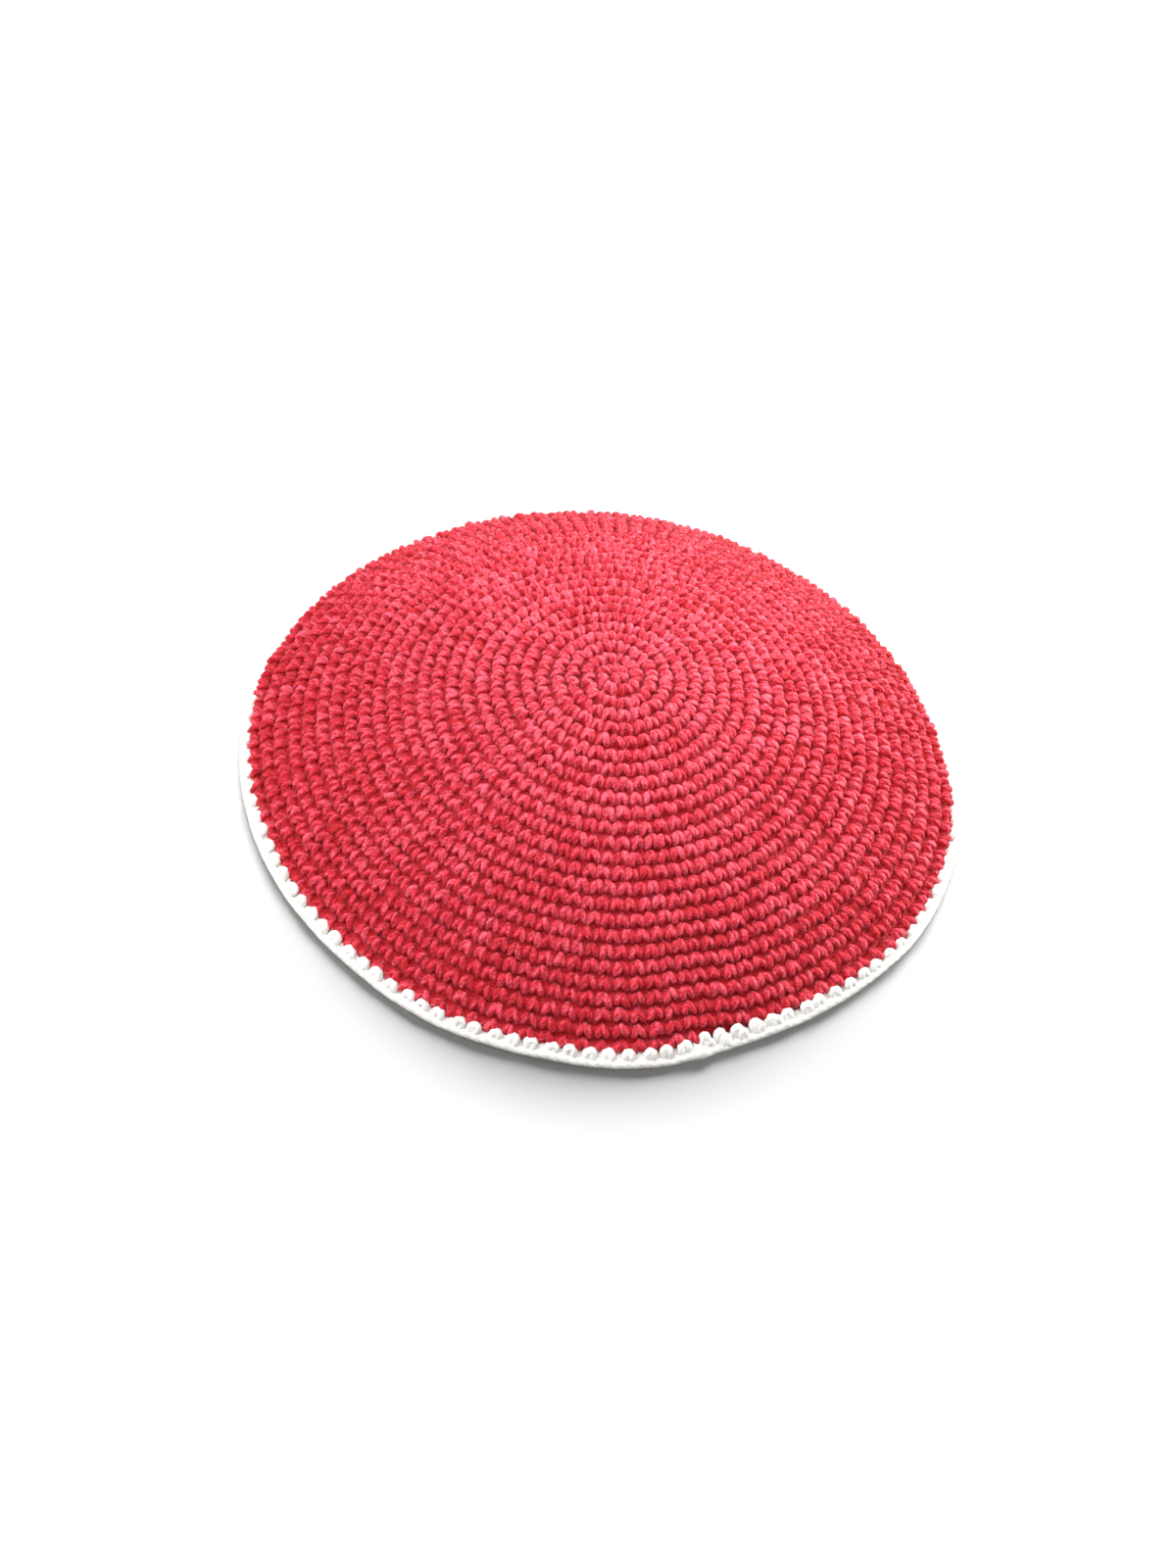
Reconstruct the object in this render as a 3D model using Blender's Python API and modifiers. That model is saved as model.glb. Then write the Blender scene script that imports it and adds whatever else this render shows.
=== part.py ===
# A crocheted skullcap, crown up on a table: a red crown worked in rounds from the middle of its top,
# and one white round of edging along its rim. Each of the crown's rounds stands out as a low rib.
# Metres, +Z up, origin on the table under the middle of the cap.

import math

import bpy
import numpy as np

# Sizes in metres, angles in degrees
RIM_RADIUS = 0.085        # mean radius out to the edging's cord
DOME_HEIGHT = 0.0368      # top of the crown above the table
DOME_POWER = 1.95         # 2 gives a parabola; more makes the top flatter
WALL = 0.0026             # thickness of the crocheted fabric
ROUND_PITCH = 0.00354     # breadth of one round of the crown
RIB_DEPTH = 0.0010        # a round's middle above the groove beside it
EDGE_BAND = 0.0046        # breadth of the edging, up the side from its foot
CORD_INSET = 0.0004       # the dome's outer face, carried down, ends this far inside the cord
CORD_MIDDLE = 0.0015      # height over the table at which the dome's outer face ends
REST_INSET = 0.0008       # the flat underside starts this far inside the cord
REST_WIDTH = 0.0024       # breadth of the flat underside that the cap rests on
STITCH_PITCH = 0.00404    # breadth of one stitch of the edging
NUB_RISE = 0.0009         # a stitch's top above the notch beside it
NUB_DEPTH = 0.0006        # a stitch's middle proud of the notch beside it
JOIN_AZIMUTH = -68.0      # where the edging starts and ends
JOIN_SPREAD = 1.6         # half breadth of the bump there
JOIN_BUMP = 0.0008        # how far it stands out
FIT_GAP = 0.0003          # crown to edging
CROWN_SEGMENTS = 48
INNER_STEPS = 12          # rings on the plain inner face

# Shares of the edging's band, from its top, and of its cord's height
BELLY_AT = 0.25
PINCH_AT = 0.6
CORD_SIDE_AT = 0.8

# The rim is a soft oval with shallow waves: (azimuth, share of the mean radius)
RIM_WAVE = (
    (0, 1.029),
    (30, 1.006),
    (60, 0.988),
    (90, 0.982),
    (120, 0.984),
    (148, 1.012),
    (170, 1.029),
    (190, 1.019),
    (210, 1.007),
    (232, 0.992),
    (250, 0.998),
    (266, 0.993),
    (284, 1.002),
    (300, 0.981),
    (320, 0.997),
    (336, 1.022),
    (350, 1.028),
)

FOOT_RADIUS = RIM_RADIUS - CORD_INSET
DOME_RISE = DOME_HEIGHT - CORD_MIDDLE


def rim_share(azimuth):
    """Radius of the rim at an azimuth, as a share of its mean: a smooth line through RIM_WAVE."""
    count = len(RIM_WAVE)
    azimuth = azimuth % 360
    at = max(i for i in range(count) if RIM_WAVE[i][0] <= azimuth)
    knots = []
    for step in (-1, 0, 1, 2):
        turns, index = divmod(at + step, count)
        angle, share = RIM_WAVE[index]
        knots.append((angle + 360 * turns, share))
    (a0, s0), (a1, s1), (a2, s2), (a3, s3) = knots
    t = (azimuth - a1) / (a2 - a1)
    m1 = (s2 - s0) / (a2 - a0) * (a2 - a1)
    m2 = (s3 - s1) / (a3 - a1) * (a2 - a1)
    return (
        (2 * t**3 - 3 * t**2 + 1) * s1
        + (t**3 - 2 * t**2 + t) * m1
        + (3 * t**2 - 2 * t**3) * s2
        + (t**3 - t**2) * m2
    )


def dome_height(radius):
    return CORD_MIDDLE + DOME_RISE * (1 - (radius / FOOT_RADIUS) ** DOME_POWER)


def dome_normal(radius):
    """(outward, upward) parts of the normal of the dome's outer face."""
    slope = DOME_RISE * DOME_POWER * (radius / FOOT_RADIUS) ** (DOME_POWER - 1) / FOOT_RADIUS
    length = math.hypot(1, slope)
    return slope / length, 1 / length


def arc_table():
    """Radii from the top to the dome's foot, and how far along its face each one lies."""
    radii = np.linspace(0, FOOT_RADIUS, 800)
    steps = np.hypot(np.diff(radii), np.diff(dome_height(radii)))
    return radii, np.concatenate([[0], np.cumsum(steps)])


RADII, ARCS = arc_table()


def at_arc(distance, out=0.0):
    """(radius, height) at a distance along the outer face from the top, moved along the normal."""
    radius = float(np.interp(distance, ARCS, RADII))
    outward, upward = dome_normal(radius)
    return radius + out * outward, dome_height(radius) + out * upward


def crown_profile():
    """Down the ribbed outer face from the top, across the lower end, and up the plain inner face."""
    end = ARCS[-1] - EDGE_BAND - FIT_GAP
    rounds = max(1, round(end / ROUND_PITCH))
    pitch = end / rounds
    points = [at_arc(0)]
    for index in range(rounds):
        points.append(at_arc((index + 0.5) * pitch, RIB_DEPTH / 2))
        points.append(at_arc((index + 1) * pitch, -RIB_DEPTH / 2))
    points += [at_arc(end * step / INNER_STEPS, -WALL) for step in range(INNER_STEPS, -1, -1)]
    return points


def edging_rows():
    """The edging's section as (radius, height, nub rise, nub depth, join bump), outer side first."""
    top = ARCS[-1] - EDGE_BAND
    rest = RIM_RADIUS - REST_INSET
    return (
        (*at_arc(top), 0, 0, 0),
        (*at_arc(top - FIT_GAP, FIT_GAP), NUB_RISE, NUB_DEPTH / 3, 0),
        (*at_arc(top + EDGE_BAND * BELLY_AT, FIT_GAP), 0, NUB_DEPTH, 0),
        (*at_arc(top + EDGE_BAND * PINCH_AT), 0, 0, JOIN_BUMP / 2),
        (RIM_RADIUS, CORD_MIDDLE * CORD_SIDE_AT, 0, 0, JOIN_BUMP),
        (rest, 0, 0, 0, JOIN_BUMP),
        (rest - REST_WIDTH, 0, 0, 0, 0),
        (*at_arc(top, -WALL), 0, 0, 0),
    )


def turned(name, rows, steps, closed):
    """An object whose mesh is a profile turned about Z, with each row's number kept on its points."""
    mesh = bpy.data.meshes.new(name)
    count = len(rows)
    edges = [(i, (i + 1) % count) for i in range(count if closed else count - 1)]
    mesh.from_pydata([(row[0], 0, row[1]) for row in rows], edges, [])
    mesh.attributes.new("row", "INT", "POINT").data.foreach_set("value", range(count))
    obj = bpy.data.objects.new(name, mesh)
    collection.objects.link(obj)
    screw = obj.modifiers.new("turn", "SCREW")
    screw.steps = steps
    screw.render_steps = steps
    screw.use_merge_vertices = True
    screw.merge_threshold = 0.00001
    bpy.context.view_layer.objects.active = obj
    bpy.ops.object.modifier_apply(modifier=screw.name)
    return obj


def shape_stitches(obj, rows, stitches):
    """Raises every second column of the turned edging to a stitch's middle, and adds the join."""
    outward, upward = dome_normal(FOOT_RADIUS)
    row_of = [item.value for item in obj.data.attributes["row"].data]
    for vertex, row in zip(obj.data.vertices, row_of):
        azimuth = math.atan2(vertex.co.y, vertex.co.x)
        nub = 0.5 + 0.5 * math.cos(azimuth * stitches)
        rise = rows[row][2] * nub
        depth = rows[row][3] * nub
        from_join = (math.degrees(azimuth) - JOIN_AZIMUTH + 180) % 360 - 180
        bump = rows[row][4] * max(0, 1 - abs(from_join) / JOIN_SPREAD)
        out = bump + depth * outward - rise * upward
        vertex.co.x += out * math.cos(azimuth)
        vertex.co.y += out * math.sin(azimuth)
        vertex.co.z += depth * upward + rise * outward


def rim_middle():
    """Middle of the box round the waved rim, which becomes the origin."""
    angles = np.arange(0, 360, 0.5)
    radii = RIM_RADIUS * np.array([rim_share(angle) for angle in angles])
    xs = radii * np.cos(np.radians(angles))
    ys = radii * np.sin(np.radians(angles))
    return (xs.min() + xs.max()) / 2, (ys.min() + ys.max()) / 2


def onto_rim(obj):
    """Carries a turned shape on to the oval, waved rim. The waves fade out towards the top."""
    middle_x, middle_y = rim_middle()
    for vertex in obj.data.vertices:
        x, y, _ = vertex.co
        fade = min(1, math.hypot(x, y) / RIM_RADIUS) ** 2
        grow = 1 + (rim_share(math.degrees(math.atan2(y, x))) - 1) * fade
        vertex.co.x = x * grow - middle_x
        vertex.co.y = y * grow - middle_y


def make_crown():
    obj = turned("crown", crown_profile(), CROWN_SEGMENTS, False)
    onto_rim(obj)
    return obj


def make_edging():
    rows = edging_rows()
    stitches = round(2 * math.pi * RIM_RADIUS / STITCH_PITCH)
    obj = turned("edging", rows, 2 * stitches, True)
    shape_stitches(obj, rows, stitches)
    onto_rim(obj)
    return obj


def finish(obj, name, colour, sheen):
    """Gives a piece its yarn, and smooth faces between its folds."""
    material = bpy.data.materials.new(name)
    material.use_nodes = True
    shader = material.node_tree.nodes["Principled BSDF"]
    shader.inputs["Base Color"].default_value = (*colour, 1)
    shader.inputs["Roughness"].default_value = 0.85
    shader.inputs["Metallic"].default_value = 0
    shader.inputs["Sheen Weight"].default_value = sheen
    obj.data.materials.append(material)
    obj.data.shade_smooth()
    obj.data.set_sharp_from_angle(angle=math.radians(50))


for old in list(bpy.data.objects):
    bpy.data.objects.remove(old)

collection = bpy.data.collections.new("kippah_skullcap")
bpy.context.scene.collection.children.link(collection)

finish(make_crown(), "red crocheted cotton", (0.60, 0.045, 0.075), 0.4)
finish(make_edging(), "white crocheted cotton", (0.90, 0.88, 0.84), 0.3)
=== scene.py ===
import math

import bpy
import numpy as np
from mathutils import Matrix, Vector


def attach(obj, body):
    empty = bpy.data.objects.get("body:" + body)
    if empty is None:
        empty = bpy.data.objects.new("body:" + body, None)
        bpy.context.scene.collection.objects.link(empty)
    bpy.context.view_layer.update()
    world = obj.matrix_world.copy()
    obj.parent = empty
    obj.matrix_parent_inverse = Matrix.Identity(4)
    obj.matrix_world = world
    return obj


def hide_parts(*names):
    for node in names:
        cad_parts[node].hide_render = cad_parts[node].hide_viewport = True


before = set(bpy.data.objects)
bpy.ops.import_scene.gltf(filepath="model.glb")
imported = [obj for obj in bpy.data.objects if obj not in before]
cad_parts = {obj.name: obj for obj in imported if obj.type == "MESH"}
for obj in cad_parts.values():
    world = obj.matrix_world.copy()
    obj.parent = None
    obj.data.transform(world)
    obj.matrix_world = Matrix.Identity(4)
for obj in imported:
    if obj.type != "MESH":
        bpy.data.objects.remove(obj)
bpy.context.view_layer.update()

rng = np.random.default_rng(7)
mm = 0.001

# the cap's own shape in mm and degrees: the outer face of the dome, and the waves of its rim
cap = {
    "rimRadius": 85.0,
    "domeHeight": 36.8,
    "domePower": 1.95,
    "footInset": 0.4,
    "footHeight": 1.5,
    "joinAzimuth": -68.0,  # where the red spiral ends and the white round starts
    "rimWave": (  # azimuth, share of the mean radius
        (0, 1.029), (30, 1.006), (60, 0.988), (90, 0.982), (120, 0.984), (148, 1.012),
        (170, 1.029), (190, 1.019), (210, 1.007), (232, 0.992), (250, 0.998), (266, 0.993),
        (284, 1.002), (300, 0.981), (320, 0.997), (336, 1.022), (350, 1.028),
    ),
}
footRadius = cap["rimRadius"] - cap["footInset"]
domeRise = cap["domeHeight"] - cap["footHeight"]
radiusTable = np.linspace(0, footRadius, 1500)
heightTable = domeRise * (1 - (radiusTable / footRadius) ** cap["domePower"])
arcTable = np.concatenate([[0], np.cumsum(np.hypot(np.diff(radiusTable), np.diff(heightTable)))])
footArc = arcTable[-1]  # from the top of the crown to the foot of its outer face


def rimShare(azimuth):
    # a smooth line through the rim's waves
    angles = np.array([row[0] for row in cap["rimWave"]], float)
    shares = np.tile([row[1] for row in cap["rimWave"]], 3)
    angles = np.concatenate([angles - 360, angles, angles + 360])
    slopes = np.zeros(len(angles))
    slopes[1:-1] = (shares[2:] - shares[:-2]) / (angles[2:] - angles[:-2])
    azimuth = np.mod(azimuth, 360)
    at = np.searchsorted(angles, azimuth, side="right") - 1
    span = angles[at + 1] - angles[at]
    t = (azimuth - angles[at]) / span
    return (
        (2 * t**3 - 3 * t**2 + 1) * shares[at]
        + (t**3 - 2 * t**2 + t) * slopes[at] * span
        + (3 * t**2 - 2 * t**3) * shares[at + 1]
        + (t**3 - t**2) * slopes[at + 1] * span
    )


def rimMiddle():
    # middle of the box round the waved rim, which is the frame's origin
    angles = np.arange(0, 360, 0.5)
    radii = cap["rimRadius"] * rimShare(angles)
    xs = radii * np.cos(np.radians(angles))
    ys = radii * np.sin(np.radians(angles))
    return (xs.min() + xs.max()) / 2, (ys.min() + ys.max()) / 2


middleX, middleY = rimMiddle()


def fromTurned(radius, height, azimuth):
    # a point of the round shape, carried on to the oval and waved rim, in metres
    fade = np.minimum(1, np.abs(radius) / cap["rimRadius"]) ** 2
    grow = 1 + (rimShare(azimuth) - 1) * fade
    angle = np.radians(azimuth)
    x = radius * grow * np.cos(angle) - middleX
    y = radius * grow * np.sin(angle) - middleY
    return np.stack([x, y, height], -1) * mm


def onCap(arc, azimuth, out):
    # arc mm down the dome's face from its top, out mm along its normal
    past = np.maximum(arc - footArc, 0)
    radius = np.sign(arc) * np.interp(np.abs(arc), arcTable, radiusTable)
    share = np.maximum(np.abs(radius) / footRadius, 1e-6)
    slope = domeRise * cap["domePower"] * share ** (cap["domePower"] - 1) / footRadius
    length = np.hypot(1, slope)
    height = cap["footHeight"] + domeRise * (1 - share ** cap["domePower"])
    radius = radius + past / length + out * slope / length * np.sign(arc)
    height = height - past * slope / length + out / length
    return fromTurned(radius, height, azimuth)


# yarn: many short strands laid at once and joined in one mesh


def smoothPath(control, steps):
    # control points (..., k, 3) to steps points on a smooth line through them
    count = control.shape[-2]
    place = np.linspace(0, count - 1, steps)
    at = np.minimum(place.astype(int), count - 2)
    t = (place - at)[:, None]
    before = control[..., np.maximum(at - 1, 0), :]
    start = control[..., at, :]
    end = control[..., at + 1, :]
    after = control[..., np.minimum(at + 2, count - 1), :]
    return (
        start
        + t * (end - before) / 2
        + t**2 * (before - 2.5 * start + 2 * end - after / 2)
        + t**3 * (1.5 * (start - end) + (after - before) / 2)
    )


def unit(vectors):
    return vectors / np.maximum(np.linalg.norm(vectors, axis=-1, keepdims=True), 1e-12)


def normalAt(arcs, azimuths):
    # outward direction of the cap at points given by arc and azimuth
    return unit(onCap(arcs, azimuths, 1.0) - onCap(arcs, azimuths, 0.0))


def layYarn(paths, radii, outward, sides, flat=1.0, closed=False):
    # rings of points round each path: paths (n, k, 3) metres, radii (n, k) mm, outward (n, k, 3)
    if closed:
        along = unit(np.roll(paths, -1, 1) - np.roll(paths, 1, 1))
    else:
        along = unit(np.gradient(paths, axis=1))
    across = unit(np.cross(along, outward))
    up = np.cross(across, along)
    angle = np.arange(sides) * 2 * np.pi / sides
    ring = (
        np.cos(angle)[:, None] * across[:, :, None, :]
        + flat * np.sin(angle)[:, None] * up[:, :, None, :]
    )
    return paths[:, :, None, :] + ring * radii[:, :, None, None] * mm


yarnLay = {
    "tableGap": 0.02,  # mm over the table, below which nothing comes
    "startsWithin": 50,  # mm of yarn along which each strand's pattern starts
}


def yarnMesh(name, rings, shade, closed=False, caps=True):
    # rings (n, k, sides, 3) joined in one object, with its own UV map: round the yarn, along it in mm
    rings[..., 2] = np.maximum(rings[..., 2], yarnLay["tableGap"] * mm)
    count, steps, sides, _ = rings.shape
    base = np.arange(count * steps * sides).reshape(count, steps, sides)
    last = steps if closed else steps - 1
    nextStep = np.roll(base, -1, 1)[:, :last]
    here = base[:, :last]
    quads = np.stack(
        [here, np.roll(here, -1, 2), np.roll(nextStep, -1, 2), nextStep], -1
    ).reshape(-1, 4)
    points = rings.reshape(-1, 3)
    middle = rings.mean(2)
    lengths = np.linalg.norm(np.diff(middle, axis=1), axis=2) / mm
    along = np.concatenate([np.zeros((count, 1)), np.cumsum(lengths, 1)], 1)
    if closed:
        closing = np.linalg.norm(middle[:, 0] - middle[:, -1], axis=1)[:, None] / mm
        along = np.concatenate([along, along[:, -1:] + closing], 1)
    along = along + rng.uniform(0, yarnLay["startsWithin"], (count, 1))
    around = np.arange(sides + 1) / sides
    uv = np.empty((count, last, sides, 4, 2))
    uv[..., 0, 0] = uv[..., 3, 0] = around[:-1]
    uv[..., 1, 0] = uv[..., 2, 0] = around[1:]
    uv[..., 0, 1] = uv[..., 1, 1] = along[:, :last, None]
    uv[..., 2, 1] = uv[..., 3, 1] = along[:, 1 : last + 1, None]
    mesh = bpy.data.meshes.new(name)
    corners = quads.reshape(-1)
    uv = uv.reshape(-1, 2)
    starts = np.arange(len(quads)) * 4
    if caps and not closed:
        ends = np.concatenate([base[:, 0, ::-1], base[:, -1]]).reshape(-1)
        corners = np.concatenate([corners, ends])
        starts = np.concatenate([starts, len(quads) * 4 + np.arange(2 * count) * sides])
        uv = np.concatenate([uv, np.tile([[0.5, 0.0]], (len(ends), 1))])
    mesh.vertices.add(len(points))
    mesh.vertices.foreach_set("co", points.reshape(-1))
    mesh.loops.add(len(corners))
    mesh.loops.foreach_set("vertex_index", corners.astype(np.int32))
    mesh.polygons.add(len(starts))
    mesh.polygons.foreach_set("loop_start", starts.astype(np.int32))
    mesh.update(calc_edges=True)
    mesh.polygons.foreach_set("use_smooth", np.ones(len(starts), bool))
    layer = mesh.uv_layers.new(name="yarn")
    layer.data.foreach_set("uv", uv.astype(np.float32).reshape(-1))
    tone = mesh.attributes.new("tone", "FLOAT", "POINT")
    tone.data.foreach_set("value", np.repeat(shade, steps * sides).astype(np.float32))
    mesh.validate()
    obj = bpy.data.objects.new(name, mesh)
    bpy.context.scene.collection.objects.link(obj)
    print(name, "triangles:", sum(len(p.vertices) - 2 for p in mesh.polygons))
    return obj


# materials


def srgb(text):
    values = [int(text[i : i + 2], 16) / 255 for i in (1, 3, 5)]
    linear = [v / 12.92 if v <= 0.04045 else ((v + 0.055) / 1.055) ** 2.4 for v in values]
    return (*linear, 1)


def addNode(tree, kind, settings=None, links=None, values=None):
    node = tree.nodes.new(kind)
    for key, value in (settings or {}).items():
        setattr(node, key, value)
    for key, value in (values or {}).items():
        node.inputs[key].default_value = value
    for key, socket in (links or {}).items():
        tree.links.new(socket, node.inputs[key])
    return node


redYarn = {
    "name": "soft cotton yarn, dyed red, crocheted",
    "shades": ((0.0, "#B20718"), (0.5, "#CE2236"), (1.0, "#F0647A")),  # darkest to lightest; the painted shade deep in the yarn and the painted light on its outward side lie towards its ends
    "middle": 0.38,  # how light it is on the whole, from dark to light
    "paintedLitSide": 0.44,  # painted light and shade: how much paler each strand's outward side is painted, and its inward side darker
    "fade": 0.3,  # painted light: how much paler the top of the cap is painted, and its rim darker, for the light that falls more on the top
    "roughness": 0.6,
    "sheen": 0.16,
    "sheenTint": "#FFC8CE",
    "scatter": 0.4,
    "bump": 0.9,
}
whiteYarn = {
    "name": "soft cotton yarn, bleached white, crocheted",
    "shades": ((0.0, "#C9C4BC"), (0.5, "#E2DFDA"), (1.0, "#F1F0EE")),
    "middle": 0.55,
    # painted light and shade: the white strands' outward sides are painted paler, their inward sides darker
    "paintedLitSide": 0.4,
    "fade": 0.0,
    "roughness": 0.8,
    "sheen": 0.1,
    "sheenTint": "#FFFFFF",
    "scatter": 0.0,
    "bump": 0.3,
}
yarnPattern = {  # what both yarns share
    "twistMm": 7.0,  # length of one turn of the plies
    "plies": 3,
    "fibres": 26,  # streaks round the yarn
    "streaksPerMm": 1.3,  # along it
    "tuftMm": 0.5,  # size of the little clumps of fibre
    "mottleMm": 9.09,  # size of the cloudy patches in the dye
    "plyShare": 0.34,  # how much each of them changes the shade
    "streakShare": 1.9,
    "tuftShare": 2.4,
    "mottleShare": 0.7,
    "paintedTopLightMiddle": 0.6,  # share of the cap's height at which the painted top light changes nothing
    "streakRelief": 0.9,
    "tuftRelief": 0.6,
    "reliefMm": 0.3,
    "scatterMm": 1.2,
    "sheenRoughness": 0.5,
    "specular": 0.2,
}


def yarnMaterial(look):
    # twisted plies show as slanted ridges, and streaks of fibre break them up and dull the shine; painted
    # light makes each strand's outward side and the cap's top paler
    pattern = yarnPattern
    material = bpy.data.materials.new(look["name"])
    material.use_nodes = True
    tree = material.node_tree
    tree.nodes.clear()
    uvMap = addNode(tree, "ShaderNodeUVMap", {"uv_map": "yarn"})
    split = addNode(tree, "ShaderNodeSeparateXYZ", links={0: uvMap.outputs[0]})
    lay = addNode(tree, "ShaderNodeMath", {"operation": "MULTIPLY_ADD"},
                  {0: split.outputs[1], 2: split.outputs[0]}, {1: 1 / pattern["twistMm"]})
    phase = addNode(tree, "ShaderNodeMath", {"operation": "MULTIPLY"}, {0: lay.outputs[0]},
                    {1: 2 * math.pi * pattern["plies"]})
    wave = addNode(tree, "ShaderNodeMath", {"operation": "SINE"}, {0: phase.outputs[0]})
    ply = addNode(tree, "ShaderNodeMapRange", links={"Value": wave.outputs[0]},
                  values={"From Min": -1.0, "From Max": 1.0})
    streakPlace = addNode(tree, "ShaderNodeMath", {"operation": "MULTIPLY"}, {0: lay.outputs[0]},
                          {1: pattern["fibres"]})
    alongPlace = addNode(tree, "ShaderNodeMath", {"operation": "MULTIPLY"}, {0: split.outputs[1]},
                         {1: pattern["streaksPerMm"]})
    streakVector = addNode(tree, "ShaderNodeCombineXYZ",
                           links={0: streakPlace.outputs[0], 1: alongPlace.outputs[0]})
    streaks = addNode(tree, "ShaderNodeTexNoise", links={"Vector": streakVector.outputs[0]},
                      values={"Scale": 1.0, "Detail": 3.0, "Roughness": 0.65})
    coords = addNode(tree, "ShaderNodeTexCoord")
    tufts = addNode(tree, "ShaderNodeTexNoise", links={"Vector": coords.outputs["Object"]},
                    values={"Scale": 1 / (pattern["tuftMm"] * mm), "Detail": 3.0, "Roughness": 0.7})
    mottle = addNode(tree, "ShaderNodeTexNoise", links={"Vector": coords.outputs["Object"]},
                     values={"Scale": 1 / (pattern["mottleMm"] * mm), "Detail": 3.0})
    place = addNode(tree, "ShaderNodeSeparateXYZ", links={0: coords.outputs["Object"]})
    # painted light: height on the cap, which paints its top paler and its rim darker
    fade = addNode(tree, "ShaderNodeMath", {"operation": "MULTIPLY"}, {0: place.outputs[2]},
                   {1: 1 / (cap["domeHeight"] * mm)})
    tone = addNode(tree, "ShaderNodeAttribute", {"attribute_name": "tone"})
    around = addNode(tree, "ShaderNodeMath", {"operation": "MULTIPLY"}, {0: split.outputs[0]},
                     {1: 2 * math.pi})
    facing = addNode(tree, "ShaderNodeMath", {"operation": "SINE"}, {0: around.outputs[0]})
    steps = (  # what changes the shade, how much, and at which value it changes nothing
        # painted light and shade: each strand's outward side painted paler, its inward side darker
        (facing.outputs[0], look["paintedLitSide"] / 2, 0.0),
        # painted light: the top of the cap painted paler, the rim darker
        (fade.outputs[0], look["fade"], pattern["paintedTopLightMiddle"]),
        (ply.outputs[0], pattern["plyShare"], 0.5),
        (streaks.outputs[0], pattern["streakShare"], 0.5),
        (tufts.outputs[0], pattern["tuftShare"], 0.5),
        (mottle.outputs[0], pattern["mottleShare"], 0.5),
    )
    total = addNode(tree, "ShaderNodeMath", {"operation": "ADD"}, {0: tone.outputs["Fac"]},
                    {1: look["middle"] - sum(amount * neutral for _, amount, neutral in steps)}).outputs[0]
    for socket, amount, _ in steps:
        total = addNode(tree, "ShaderNodeMath", {"operation": "MULTIPLY_ADD"},
                        {0: socket, 2: total}, {1: amount}).outputs[0]
    share = addNode(tree, "ShaderNodeClamp", links={0: total})
    colour = addNode(tree, "ShaderNodeValToRGB", links={0: share.outputs[0]})
    colour.color_ramp.elements.new(0.5)
    for element, (position, shade) in zip(colour.color_ramp.elements, look["shades"]):
        element.position = position
        element.color = srgb(shade)
    raised = addNode(tree, "ShaderNodeMath", {"operation": "MULTIPLY_ADD"},
                     {0: streaks.outputs[0], 2: ply.outputs[0]}, {1: pattern["streakRelief"]})
    height = addNode(tree, "ShaderNodeMath", {"operation": "MULTIPLY_ADD"},
                     {0: tufts.outputs[0], 2: raised.outputs[0]}, {1: pattern["tuftRelief"]})
    bump = addNode(tree, "ShaderNodeBump", links={"Height": height.outputs[0]},
                   values={"Strength": look["bump"], "Distance": pattern["reliefMm"] * mm})
    shader = addNode(tree, "ShaderNodeBsdfPrincipled",
                     links={"Base Color": colour.outputs[0], "Normal": bump.outputs[0]},
                     values={"Roughness": look["roughness"], "Sheen Weight": look["sheen"],
                             "Sheen Roughness": pattern["sheenRoughness"],
                             "Sheen Tint": srgb(look["sheenTint"]),
                             "Specular IOR Level": pattern["specular"],
                             "Subsurface Weight": look["scatter"],
                             "Subsurface Scale": pattern["scatterMm"] * mm})
    addNode(tree, "ShaderNodeOutputMaterial", links={"Surface": shader.outputs[0]})
    return material


redMaterial = yarnMaterial(redYarn)
whiteMaterial = yarnMaterial(whiteYarn)
print("yarns mixed")

# how the edging's breadth goes round the rim, and where it turns under, by degrees past the join
band = {
    "breadth": (  # degrees, mm from the tops of the white stitches to the foot
        (0, 5.6), (6, 4.9), (12, 4.5), (18, 4.1), (26, 3.6), (40, 2.9), (50, 2.5), (60, 2.2),
        (76, 2.0), (240, 2.0), (258, 2.4), (268, 3.0), (278, 3.6), (340, 3.7), (353, 4.3), (360, 4.6),
    ),
    "tuck": ((0, 0), (64, 0), (84, 1), (230, 1), (250, 0), (360, 0)),  # it turns under at the back
    "tuckedMore": 0.2,
    "sink": 0.7,  # mm by which the rim's fabric lies flatter there
    "sinkPower": 4,
    "farthest": 1.1,  # shares of the way to the rim past which nothing grows further
}


def readTable(table, pastJoin):
    return np.interp(pastJoin, [row[0] for row in table], [row[1] for row in table])


def pastJoinAt(azimuth):
    return np.mod(azimuth - cap["joinAzimuth"], 360)


def tuckAt(pastJoin):
    share = readTable(band["tuck"], pastJoin)
    return share * share * (3 - 2 * share)


def sinkAt(arc, azimuth):
    outward = np.clip(arc / footArc, 0, band["farthest"]) ** band["sinkPower"]
    return band["sink"] * tuckAt(pastJoinAt(azimuth)) * outward


def bandWidth(pastJoin):
    return readTable(band["breadth"], pastJoin) + band["tuckedMore"] * tuckAt(pastJoin)


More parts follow.
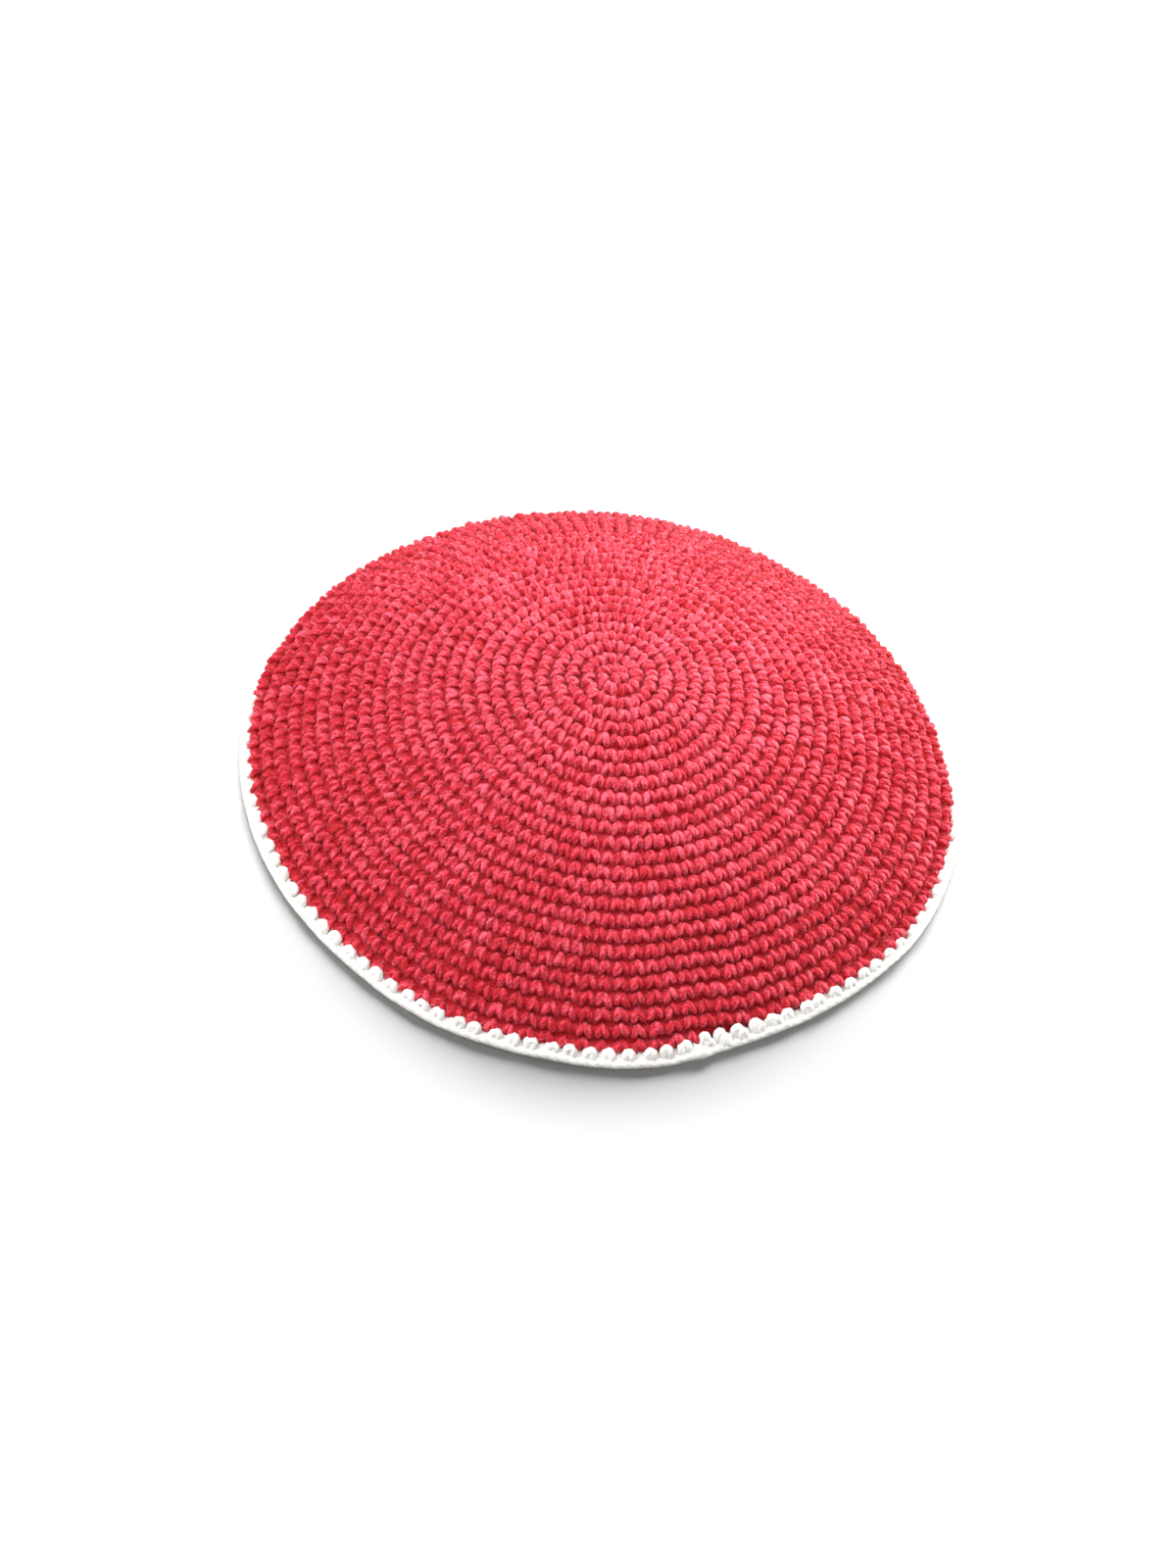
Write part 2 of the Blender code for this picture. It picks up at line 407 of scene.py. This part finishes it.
# crown: one spiral of single crochet, each stitch two strands that meet towards the top
crown = {
    "pitch": 3.54,  # mm from one round to the next
    "stitch": 3.25,  # mm from one stitch to the next, as long as rounds still widen
    "mostStitches": 120,  # in a round, once they stop widening
    "firstStitches": 6,
    "startTurn": -0.45,
    "endArc": 91.0,  # lower edge of the last round, just before the join
    "underEdging": 1.9,  # mm by which the last round reaches under the white stitches
    "stepDegrees": 10,  # past the join, over which the rounds come on to the edging's line
    "leftLeg": (  # shares of a stitch along the round, then mm down the side and outwards
        (-0.14, -1.2, -1.9), (-0.17, -0.85, -1.0), (-0.22, -0.2, -0.48),
        (-0.28, 0.5, -0.6), (-0.31, 0.95, -1.3), (-0.30, 1.1, -2.2),
    ),
    "rightLeg": (
        (0.02, -1.4, -2.0), (0.07, -1.05, -1.05), (0.15, -0.4, -0.48),
        (0.26, 0.3, -0.55), (0.34, 0.9, -1.2), (0.37, 1.1, -2.1),
    ),
    "legRadius": 0.83,
    "legSteps": 7,
    "legSides": 8,
    "jitter": 0.19,
}
strand = {  # the shape that the strands of both sides share, and how they differ from each other
    "sway": (0.25, 0.9, 0.8),  # shares of the jitter for the whole strand: along, down, outwards
    "bend": (0.25, 1.0, 1.0),  # and for its points, at half the jitter
    "taper": ((0, 0.85), (0.3, 1.06), (0.6, 0.98), (1, 0.74)),  # share of its length, of its radius
    "sizeSpread": 0.09,
    "lumpSpread": 0.05,
    "rough": 0.06,  # mm by which its surface is uneven
    "flat": 0.9,
    "toneSpread": 0.12,
}
lastTurn = crown["endArc"] / crown["pitch"] - 1


def azimuthOf(turn):
    return cap["joinAzimuth"] + 360 * (turn - lastTurn)


def rowArc(turn, down):
    # arc of a point that lies down mm below the middle of the spiral at this turn
    arc = crown["pitch"] * (turn + 0.5) + down
    pastJoin = pastJoinAt(azimuthOf(turn))
    plainEdge = crown["endArc"] - crown["pitch"] * (1 - pastJoin / 360)
    wanted = footArc - bandWidth(pastJoin) + crown["underEdging"]
    blend = np.clip(pastJoin / crown["stepDegrees"], 0, 1)
    stretch = (wanted / plainEdge - 1) * blend
    return arc * (1 + stretch * np.clip(arc / crown["endArc"], 0, band["farthest"]) ** 2)


def stitchTurns():
    turns = [crown["startTurn"]]
    while turns[-1] < lastTurn:
        radius = np.interp(max(crown["pitch"] * (turns[-1] + 0.5), 0), arcTable, radiusTable)
        inRound = max(2 * math.pi * radius / crown["stitch"], crown["firstStitches"])
        turns.append(turns[-1] + 1 / min(inRound, crown["mostStitches"]))
    return np.array(turns)


turns = stitchTurns()
widths = np.diff(turns)
turns = (turns[:-1] + turns[1:]) / 2
print("stitches in the crown:", len(turns))


def layStitches(name, control, radius, steps, sides, pick, jitter):
    # one strand for each picked stitch, shaped by its control points
    count = len(pick)
    shape = np.tile(np.array(control, float), (count, 1, 1))
    shape += rng.normal(0, jitter, (count, 1, 3)) * np.array(strand["sway"])
    shape += rng.normal(0, jitter * 0.5, shape.shape) * np.array(strand["bend"])
    path = smoothPath(shape, steps)
    turn = turns[pick][:, None] + path[..., 0] * widths[pick][:, None]
    arc = rowArc(turn, path[..., 1])
    azimuth = azimuthOf(turn)
    points = onCap(arc, azimuth, path[..., 2] - sinkAt(arc, azimuth))
    size = radius * readTable(strand["taper"], np.linspace(0, 1, steps))
    size = size * rng.normal(1, strand["sizeSpread"], (count, 1))
    size = size * rng.normal(1, strand["lumpSpread"], (count, steps))
    rings = layYarn(points, size, normalAt(arc, azimuth), sides, strand["flat"])
    rings += rng.normal(0, strand["rough"] * mm, rings.shape)
    return yarnMesh(name, rings, rng.normal(0, strand["toneSpread"], count))


def finishPiece(obj, material, node):
    obj.data.materials.append(material)
    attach(obj, "root")
    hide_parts(node)


allStitches = np.arange(len(turns))
halves = np.array_split(allStitches, 2)
for part, pick in zip(("upper", "lower"), halves):
    for side in ("left", "right"):
        leg = layStitches(f"crown_{part}_{side}_strands", crown[side + "Leg"], crown["legRadius"],
                          crown["legSteps"], crown["legSides"], pick, crown["jitter"])
        finishPiece(leg, redMaterial, "crown")
print("crown's outer strands laid")

# the body of each round, under its strands
# painted shade: the body lies under the strands and is painted darker by its tone
body = {"down": -0.05, "out": -1.65, "radius": 1.2, "swell": 0.12, "perStitch": 2, "sides": 8, "tone": -0.5}


def layBody():
    steps = np.linspace(crown["startTurn"], lastTurn, len(turns) * body["perStitch"])
    arc = rowArc(steps, body["down"])
    azimuth = azimuthOf(steps)
    points = onCap(arc, azimuth, body["out"] - sinkAt(arc, azimuth))[None]
    radii = body["radius"] * (1 + body["swell"] * np.cos(np.arange(len(steps)) * np.pi))[None]
    rings = layYarn(points, radii, normalAt(arc, azimuth)[None], body["sides"])
    return yarnMesh("crown_rounds", rings, np.array([body["tone"]]))


finishPiece(layBody(), redMaterial, "crown")

# the cap's inner side: a bar and a short strand for each stitch
inner = {
    "bar": (
        (-0.5, 1.0, -1.9), (-0.25, 1.2, -2.35), (0.05, 1.25, -2.45),
        (0.3, 1.2, -2.35), (0.5, 1.0, -1.9),
    ),
    "leg": ((-0.05, -1.9, -1.7), (0.03, -1.0, -2.3), (0.1, 0.0, -2.35), (0.15, 1.1, -1.8)),
    "radius": 0.62,
    "steps": 4,
    "sides": 5,
    "jitter": 0.08,
}
for kind in ("bar", "leg"):
    innerStrand = layStitches(f"crown_inner_{kind}s", inner[kind], inner["radius"],
                              inner["steps"], inner["sides"], allStitches, inner["jitter"])
    finishPiece(innerStrand, redMaterial, "crown")

# the middle of the fabric, so that no light comes through between strands
heart = {
    "degrees": 3.0,
    "rows": 60,
    "redFrom": 0.3,  # mm down from the top of the crown
    "redUnder": 1.5,  # mm by which it reaches under the white stitches
    "redFaces": (-1.6, -2.0),  # mm outwards
    # painted shade: the red middle lies deep in the fabric and is painted darker
    "redPaintedShade": -0.6,
    "whiteBelow": 2.2,  # mm below the tops of the white stitches
    "whiteLeast": 1.2,  # but at least this many mm up from the foot
    "whiteFoot": 0.4,
    "whiteFaces": (-0.6, -1.9),
    "whiteTucked": 1.6,
}


def layHeart(name, fromArc, toArc, faces, tone, tucked=0.0):
    azimuths = np.arange(0, 360, heart["degrees"])[:, None]
    share = np.linspace(0, 1, heart["rows"])
    pastJoin = pastJoinAt(azimuths)
    arcs = fromArc(pastJoin) * (1 - share) + toArc(pastJoin) * share
    azimuths = azimuths + 0 * arcs
    sunk = sinkAt(arcs, azimuths) + tucked * tuckAt(pastJoin)
    top = onCap(arcs, azimuths, faces[0] - sunk)
    bottom = onCap(arcs, azimuths, faces[1] - sunk)[:, ::-1]
    rings = np.concatenate([top, bottom], 1)[None]
    return yarnMesh(name, rings, np.array([tone]), closed=True)


def redTop(pastJoin):
    return heart["redFrom"] + 0 * pastJoin


def redEdge(pastJoin):
    return footArc - bandWidth(pastJoin) + heart["redUnder"]


def whiteTop(pastJoin):
    return footArc - np.maximum(bandWidth(pastJoin) - heart["whiteBelow"], heart["whiteLeast"])


def whiteEdge(pastJoin):
    return footArc - heart["whiteFoot"] + 0 * pastJoin


finishPiece(layHeart("crown_heart", redTop, redEdge, heart["redFaces"], heart["redPaintedShade"]),
            redMaterial, "crown")
print("crown laid")

# edging: one round of white single crochet, started and ended at the join
edging = {
    "stitches": 118,
    "nub": (  # shares of a stitch along the rim, then mm down from the nub's top and outwards
        (-0.14, 3.9, -1.3), (-0.17, 3.0, -0.7), (-0.18, 1.9, -0.35), (-0.14, 1.2, -0.25),
        (0.0, 0.95, -0.25), (0.14, 1.2, -0.25), (0.18, 1.9, -0.35), (0.17, 3.0, -0.7),
        (0.14, 3.9, -1.3),
    ),
    "nubRadius": 1.0,
    "nubSteps": 13,
    "nubSides": 8,
    "nubFlat": 0.95,
    "fullBand": 4.4,  # mm of breadth at which a nub has its full height
    "nubLeast": 0.45,
    "nubMost": 1.2,
    "widthSpread": 0.08,
    "sway": (0.25, 1.0, 1.0),
    "swaySpread": 0.09,
    "bendSpread": 0.06,
    "sizeSpread": 0.05,
    "toneSpread": 0.1,
    "placeSpread": 0.16,  # degrees
    "tuckIn": 2.6,  # mm by which a nub sinks where the edging turns under
    "tuckShrink": 0.4,
    "tuckHides": 0.3,  # from here on the nubs are folded away under the red
    "tableGap": 0.1,
    "doubledTo": 16,  # degrees past the join, over which the round's start is doubled
    "doubledShift": 0.6,
    "doubledBand": 3.6,  # mm from the doubled stitches' tops to the foot
    "doubledScale": 0.9,
}


def layNubs(name, pastJoin, top, scale=1.0):
    count = len(pastJoin)
    shape = np.tile(np.array(edging["nub"], float), (count, 1, 1))
    shape[..., 0] *= rng.normal(1, edging["widthSpread"], (count, 1))
    shape += rng.normal(0, edging["swaySpread"], (count, 1, 3)) * np.array(edging["sway"])
    shape += rng.normal(0, edging["bendSpread"], shape.shape) * np.array(edging["sway"])
    path = smoothPath(shape, edging["nubSteps"])
    azimuth = cap["joinAzimuth"] + pastJoin[:, None] + path[..., 0] * 360 / edging["stitches"]
    tuck = tuckAt(pastJoin)[:, None]
    height = np.clip(bandWidth(pastJoin) / edging["fullBand"], edging["nubLeast"], edging["nubMost"])
    arc = top[:, None] + path[..., 1] * (scale * height[:, None])
    points = onCap(arc, azimuth, path[..., 2] - edging["tuckIn"] * tuck)
    size = edging["nubRadius"] * (1 - edging["tuckShrink"] * tuck)
    size = size * rng.normal(1, edging["sizeSpread"], (count, 1)) * np.ones(edging["nubSteps"])
    points[..., 2] = np.maximum(points[..., 2], (size + edging["tableGap"]) * mm)
    rings = layYarn(points, size, normalAt(arc, azimuth), edging["nubSides"], edging["nubFlat"])
    return yarnMesh(name, rings, rng.normal(0.0, edging["toneSpread"], count))


placeOfNubs = (np.arange(edging["stitches"]) + 0.5) * 360 / edging["stitches"]
placeOfNubs = placeOfNubs + rng.normal(0, edging["placeSpread"], len(placeOfNubs))
placeOfNubs = placeOfNubs[tuckAt(placeOfNubs) < edging["tuckHides"]]
finishPiece(layNubs("edging_stitches", placeOfNubs, footArc - bandWidth(placeOfNubs)),
            whiteMaterial, "edging")
doubled = placeOfNubs[placeOfNubs < edging["doubledTo"]]
finishPiece(layNubs("edging_overlap", doubled + edging["doubledShift"],
                    footArc - edging["doubledBand"] + 0 * doubled, edging["doubledScale"]),
            whiteMaterial, "edging")
finishPiece(layHeart("edging_heart", whiteTop, whiteEdge, heart["whiteFaces"], 0.0,
                     heart["whiteTucked"]),
            whiteMaterial, "edging")

# the rim's cord, and a second one inside it; a chain loop for each stitch makes them swell and sink
cord = {
    "outer": {"inset": 0.0, "radius": 1.15, "swell": 0.1, "phase": 0.0},
    "inner": {"inset": 1.9, "radius": 1.1, "swell": 0.07, "phase": 1.6},
    "perStitch": 4,
    "sides": 10,
    "height": 0.05,  # of its underside over the table, mm
    "slowWaves": ((31, 0.0, 0.1), (47, 1.0, 0.08)),  # in a round, phase, mm
    "knotAt": 1.0,  # degrees past the join
    "knotWidth": 1.1,
    "knotRadius": 0.35,  # mm that the knot adds to the cord's radius
    "knotOut": 0.6,
    "tuckIn": 1.7,  # mm by which the cord lies further in where the edging turns under
    "tuckShrink": 0.25,
}


def layCord(name, kind):
    count = edging["stitches"] * cord["perStitch"]
    azimuth = cap["joinAzimuth"] + np.arange(count) * 360 / count
    wave = np.sin(np.arange(count) * 2 * np.pi / cord["perStitch"] + kind["phase"])
    slow = sum(np.sin(np.radians(azimuth) * times + phase) * size
               for times, phase, size in cord["slowWaves"])
    offJoin = (azimuth - cap["joinAzimuth"] + 180) % 360 - 180
    knot = np.exp(-(((offJoin - cord["knotAt"]) / cord["knotWidth"]) ** 2))
    tuck = tuckAt(np.mod(offJoin, 360))
    radii = kind["radius"] + kind["swell"] * wave + slow + cord["knotRadius"] * knot
    radii = radii * (1 - cord["tuckShrink"] * tuck)
    turned = cap["rimRadius"] - kind["inset"] - radii + cord["knotOut"] * knot - cord["tuckIn"] * tuck
    points = fromTurned(turned, radii + cord["height"], azimuth)[None]
    upward = np.tile([0.0, 0.0, 1.0], (1, count, 1))
    rings = layYarn(points, radii[None], upward, cord["sides"], closed=True)
    return yarnMesh(name, rings, np.array([0.0]), closed=True)


finishPiece(layCord("edging_cord", cord["outer"]), whiteMaterial, "edging")
finishPiece(layCord("edging_inner_cord", cord["inner"]), whiteMaterial, "edging")
print("edging laid")

# loose fibres that stand off the yarn, drawn thicker than real ones, which wouldn't show
fuzz = {
    "red": 11000,
    "redOut": -0.1,
    "redInset": 1.5,  # mm inside the last round's edge
    "white": 1200,
    "whiteOut": -0.3,
    "whiteUp": (0.2, 3.5),  # mm up from the foot
    "whiteFrom": (-115, 70),  # degrees past the join
    "length": (0.4, 1.5),
    "radius": 0.022,
    "thinTo": 0.4,
    "steps": 3,
    "sides": 3,
    "lean": 0.75,
    "curl": 0.35,
    "rise": 0.75,
    "leastRadius": 3,  # mm from the middle, nearer to which fibres turn no faster
    # painted sheen: the fibres are painted paler than their yarn, for the pale haze that light gives the
    # fuzz
    "tone": 0.5,
    "toneSpread": 0.2,
    "tableGap": 0.05,
}


def layFuzz(name, arc, azimuth, out, count):
    lengths = rng.uniform(*fuzz["length"], count)
    lean = rng.normal(0, fuzz["lean"], (count, 2))
    curl = rng.normal(0, fuzz["curl"], (count, 2))
    share = np.linspace(0, 1, fuzz["steps"])
    reach = lengths[:, None] * share
    arcs = arc[:, None] + reach * (lean[:, :1] + curl[:, :1] * share)
    radius = np.maximum(np.interp(arc, arcTable, radiusTable), fuzz["leastRadius"])
    sideways = reach * (lean[:, 1:] + curl[:, 1:] * share)
    azimuths = azimuth[:, None] + np.degrees(sideways / radius[:, None])
    points = onCap(arcs, azimuths, out + reach * fuzz["rise"] - sinkAt(arcs, azimuths))
    points[..., 2] = np.maximum(points[..., 2], fuzz["tableGap"] * mm)
    radii = fuzz["radius"] * np.ones((count, fuzz["steps"])) * (1 - (1 - fuzz["thinTo"]) * share)
    upward = np.tile([0.0, 0.0, 1.0], (count, fuzz["steps"], 1))
    rings = layYarn(points, radii, upward, fuzz["sides"])
    return yarnMesh(name, rings, rng.normal(fuzz["tone"], fuzz["toneSpread"], count), caps=False)


redArcs = np.sqrt(rng.uniform(0, 1, fuzz["red"])) * (crown["endArc"] - fuzz["redInset"])
redAzimuths = rng.uniform(0, 360, fuzz["red"])
finishPiece(layFuzz("crown_fibres", redArcs, redAzimuths, fuzz["redOut"], fuzz["red"]),
            redMaterial, "crown")
whiteArcs = footArc - rng.uniform(*fuzz["whiteUp"], fuzz["white"])
whiteAzimuths = cap["joinAzimuth"] + rng.uniform(*fuzz["whiteFrom"], fuzz["white"])
finishPiece(layFuzz("edging_fibres", whiteArcs, whiteAzimuths, fuzz["whiteOut"], fuzz["white"]),
            whiteMaterial, "edging")
print("fibres laid")

# a matt white board shows the cap's soft shadow and no reflection
floor = {"size": 6.0, "colour": "#FFFFFF", "roughness": 0.9, "specular": 0.1}
bpy.ops.object.select_all(action="DESELECT")
bpy.ops.mesh.primitive_plane_add(size=floor["size"], location=(0, 0, 0))
table = bpy.context.object
table.name = "table"
tableMaterial = bpy.data.materials.new("white laminate board, pressed matt")
tableMaterial.use_nodes = True
tableShader = tableMaterial.node_tree.nodes["Principled BSDF"]
tableShader.inputs["Base Color"].default_value = srgb(floor["colour"])
tableShader.inputs["Roughness"].default_value = floor["roughness"]
tableShader.inputs["Specular IOR Level"].default_value = floor["specular"]
table.data.materials.append(tableMaterial)

# soft lamps for the cloth, and others for the table, as in a studio with flags
lights = {
    "cap": {
        "key": {"place": (-0.03, 0.02, 0.39), "size": 0.46, "power": 1.52, "diffuse": 1.0},
        "back": {"place": (0.94, 0.46, 0.36), "size": 0.6, "power": 9.2, "diffuse": 1.0},
        "front": {"place": (0.0, -0.60, 0.95), "size": 1.4, "power": 4.4, "diffuse": 1.0},
        "left": {"place": (-0.88, -0.08, 0.68), "size": 1.1, "power": 12.4, "diffuse": 1.0},
        "haze": {"place": (0.66, 0.70, 0.30), "size": 0.5, "power": 11.5, "diffuse": 0.0},  # only shine
    },
    "floor": (  # azimuth, elevation, width in degrees, strength
        (58, 20, 20, 1.1), (78, 28, 24, 1.55), (92, 35, 34, 1.9), (106, 28, 24, 1.55),
        (124, 20, 20, 1.2), (12, 15, 14, 0.3), (168, 15, 14, 0.3), (270, 50, 60, 0.2),
    ),
    "sky": 0.04,
    "wall": 0.9,
}


def addLamp(data, direction, linkState):
    # the table is either left out of this lamp's light or the only thing in it
    lamp = bpy.data.objects.new(data.name, data)
    lamp.location = direction
    lamp.rotation_euler = Vector(direction).to_track_quat("Z", "Y").to_euler()
    bpy.context.scene.collection.objects.link(lamp)
    group = bpy.data.collections.new(lamp.name + " group")
    group.objects.link(table)
    lamp.light_linking.receiver_collection = group
    for item in group.collection_objects:
        item.light_linking.link_state = linkState


for lightName, light in lights["cap"].items():
    lampData = bpy.data.lights.new(lightName, "AREA")
    lampData.shape = "DISK"
    lampData.size = light["size"]
    lampData.energy = light["power"]
    lampData.diffuse_factor = light["diffuse"]
    addLamp(lampData, light["place"], "EXCLUDE")
for lightAzimuth, lightElevation, lightWidth, lightStrength in lights["floor"]:
    lampData = bpy.data.lights.new(f"window {lightAzimuth}", "SUN")
    lampData.angle = math.radians(lightWidth)
    lampData.energy = lightStrength
    lightTilt = math.radians(lightElevation)
    lightTurn = math.radians(lightAzimuth)
    flatPart = math.cos(lightTilt)
    fromWhere = (flatPart * math.cos(lightTurn), flatPart * math.sin(lightTurn), math.sin(lightTilt))
    addLamp(lampData, fromWhere, "INCLUDE")


def addWorld():
    # the wall behind the table looks white, but gives hardly any light
    world = bpy.data.worlds.new("soft studio")
    world.use_nodes = True
    tree = world.node_tree
    tree.nodes.clear()
    dim = addNode(tree, "ShaderNodeBackground", values={0: (1, 1, 1, 1), 1: lights["sky"]})
    wall = addNode(tree, "ShaderNodeBackground", values={0: (1, 1, 1, 1), 1: lights["wall"]})
    path = addNode(tree, "ShaderNodeLightPath")
    mix = addNode(tree, "ShaderNodeMixShader",
                  links={0: path.outputs["Is Camera Ray"], 1: dim.outputs[0], 2: wall.outputs[0]})
    addNode(tree, "ShaderNodeOutputWorld", links={"Surface": mix.outputs[0]})
    bpy.context.scene.world = world


addWorld()
bpy.context.scene.view_settings.view_transform = "Standard"

view = {
    "elevation": 51.19,
    "roll": 9.09,
    "distance": 0.765,
    "target": (-middleX * mm, -middleY * mm, 0.02125),
    "pictureSize": (1200, 1600),
    "targetPixel": (622.3, 729.6),
    "pixelsPerMm": 368.3 / 85,  # at the target
    "sensor": 36,
    "nearest": 0.05,
}


def addCamera():
    pictureWidth, pictureHeight = view["pictureSize"]
    data = bpy.data.cameras.new("camera")
    data.sensor_width = view["sensor"]
    data.lens = view["pixelsPerMm"] * 1000 * view["distance"] * view["sensor"] / pictureHeight
    data.shift_x = (pictureWidth / 2 - view["targetPixel"][0]) / pictureHeight
    data.shift_y = (view["targetPixel"][1] - pictureHeight / 2) / pictureHeight
    data.clip_start = view["nearest"]
    camera = bpy.data.objects.new("camera", data)
    tilt = math.radians(view["elevation"])
    back = Vector((0, -math.cos(tilt), math.sin(tilt)))
    place = Vector(view["target"]) + back * view["distance"]
    turn = back.to_track_quat("Z", "Y").to_matrix() @ Matrix.Rotation(math.radians(view["roll"]), 3, "Z")
    camera.matrix_world = Matrix.Translation(place) @ turn.to_4x4()
    bpy.context.scene.collection.objects.link(camera)
    bpy.context.scene.camera = camera


addCamera()
print("camera and lights placed")
